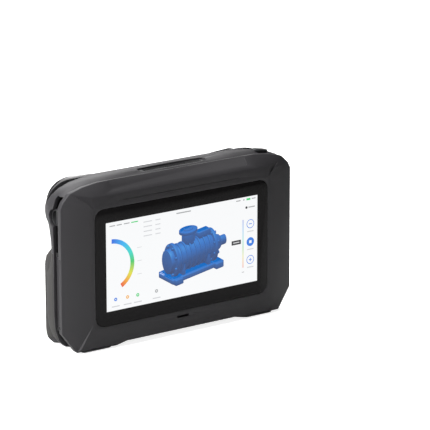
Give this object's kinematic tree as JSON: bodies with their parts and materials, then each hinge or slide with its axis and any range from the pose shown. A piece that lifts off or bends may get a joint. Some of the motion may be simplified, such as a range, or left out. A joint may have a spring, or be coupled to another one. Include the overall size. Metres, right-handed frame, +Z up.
{
  "type": "three-d scanner",
  "caption": "Hand-held three-d scanner: a touch-screen body with side grips and, behind it, a sensor head with toed-in stereo camera pods.",
  "frame": {"origin": "on the plane the feet rest on, under the middle of the body", "axes": "+Z up, +X to the right of someone who looks at the screen, -Y out of the screen, +Y out of the sensor head"},
  "size_m": [0.207, 0.0485, 0.13],
  "materials": {
    "front_bezel": "fine textured dark grey",
    "display_glass": "gloss black cover glass",
    "display_panel": "lit display panel",
    "speaker": "black",
    "middle_frame": "matte black",
    "rear_housing": "fine textured dark grey",
    "grip_insert_right": "matte black rubber",
    "grip_insert_left": "matte black rubber",
    "intake_grille": "fine textured dark grey",
    "exhaust_grille": "matte black",
    "scan_button": "satin black",
    "scan_switch": "bright metal can",
    "strap_lug_right": "satin black",
    "strap_lug_left": "satin black",
    "usb_socket": "plain steel shell",
    "power_socket": "black",
    "port_door": "fine textured dark grey",
    "port_door_pin": "plain steel",
    "head_housing": "fine textured dark grey",
    "window_glass": "gloss black window",
    "laser_projector_1": "dark coated lens",
    "laser_projector_2": "dark coated lens",
    "laser_projector_3": "dark coated lens",
    "laser_projector_4": "dark coated lens",
    "infrared_camera_1": "dark coated lens",
    "infrared_camera_2": "dark coated lens",
    "range_sensor": "dark coated lens",
    "sensor_board": "green circuit board",
    "sensor_bench": "milled aluminium",
    "mainboard": "green circuit board",
    "processor_chip": "black",
    "heat_sink": "plain aluminium",
    "fan_frame": "black",
    "fan_impeller": "black",
    "camera_pod_right": "gloss black",
    "pod_cover_right": "gloss black",
    "light_board_right": "pale light blocks on a board",
    "stereo_lens_right": "satin black barrel",
    "stereo_glass_right": "dark coated glass",
    "colour_camera_right": "satin black barrel",
    "camera_board_right": "green circuit board",
    "battery_right": "blue sleeve",
    "battery_tray_right": "matte black",
    "foot_right": "grey rubber",
    "camera_pod_left": "gloss black",
    "pod_cover_left": "gloss black",
    "light_board_left": "pale light blocks on a board",
    "stereo_lens_left": "satin black barrel",
    "stereo_glass_left": "dark coated glass",
    "colour_camera_left": "satin black barrel",
    "camera_board_left": "green circuit board",
    "battery_left": "blue sleeve",
    "battery_tray_left": "matte black",
    "foot_left": "grey rubber",
    "bench_screw_1": "plain steel",
    "bench_screw_2": "plain steel",
    "bench_screw_3": "plain steel",
    "bench_screw_4": "plain steel"
  },
  "bodies": {
    "main": {"front_bezel": "front_bezel", "display_glass": "display_glass", "display_panel": "display_panel", "speaker": "speaker", "middle_frame": "middle_frame", "rear_housing": "rear_housing", "grip_insert_right": "grip_insert_right", "grip_insert_left": "grip_insert_left", "intake_grille": "intake_grille", "exhaust_grille": "exhaust_grille", "scan_switch": "scan_switch", "strap_lug_right": "strap_lug_right", "strap_lug_left": "strap_lug_left", "usb_socket": "usb_socket", "power_socket": "power_socket", "port_door_pin": "port_door_pin", "head_housing": "head_housing", "window_glass": "window_glass", "laser_projector_1": "laser_projector_1", "laser_projector_2": "laser_projector_2", "laser_projector_3": "laser_projector_3", "laser_projector_4": "laser_projector_4", "infrared_camera_1": "infrared_camera_1", "infrared_camera_2": "infrared_camera_2", "range_sensor": "range_sensor", "sensor_board": "sensor_board", "sensor_bench": "sensor_bench", "mainboard": "mainboard", "processor_chip": "processor_chip", "heat_sink": "heat_sink", "fan_frame": "fan_frame", "camera_pod_right": "camera_pod_right", "pod_cover_right": "pod_cover_right", "light_board_right": "light_board_right", "stereo_lens_right": "stereo_lens_right", "stereo_glass_right": "stereo_glass_right", "colour_camera_right": "colour_camera_right", "camera_board_right": "camera_board_right", "battery_right": "battery_right", "battery_tray_right": "battery_tray_right", "foot_right": "foot_right", "camera_pod_left": "camera_pod_left", "pod_cover_left": "pod_cover_left", "light_board_left": "light_board_left", "stereo_lens_left": "stereo_lens_left", "stereo_glass_left": "stereo_glass_left", "colour_camera_left": "colour_camera_left", "camera_board_left": "camera_board_left", "battery_left": "battery_left", "battery_tray_left": "battery_tray_left", "foot_left": "foot_left", "bench_screw_1": "bench_screw_1", "bench_screw_2": "bench_screw_2", "bench_screw_3": "bench_screw_3", "bench_screw_4": "bench_screw_4"},
    "scan_button": {"scan_button": "scan_button"},
    "port_door": {"port_door": "port_door"},
    "fan": {"fan_impeller": "fan_impeller"}
  },
  "joints": [
    {"name": "scan_button_press", "type": "slide", "parent": "main", "child": "scan_button", "axis": [-0.1908, 0, -0.9816], "range_m": [0, 0.0008], "stiffness_N_per_m": 1500},
    {"name": "port_door_hinge", "type": "hinge", "parent": "main", "child": "port_door", "pos_m": [-0.0999, -0.00847, 0.0475], "axis": [0, 0, -1], "range_deg": [0, 90]},
    {"name": "fan_spin", "type": "hinge", "parent": "main", "child": "fan", "pos_m": [0, 0, 0.0392], "axis": [0, 1, 0], "continuous": true}
  ]
}
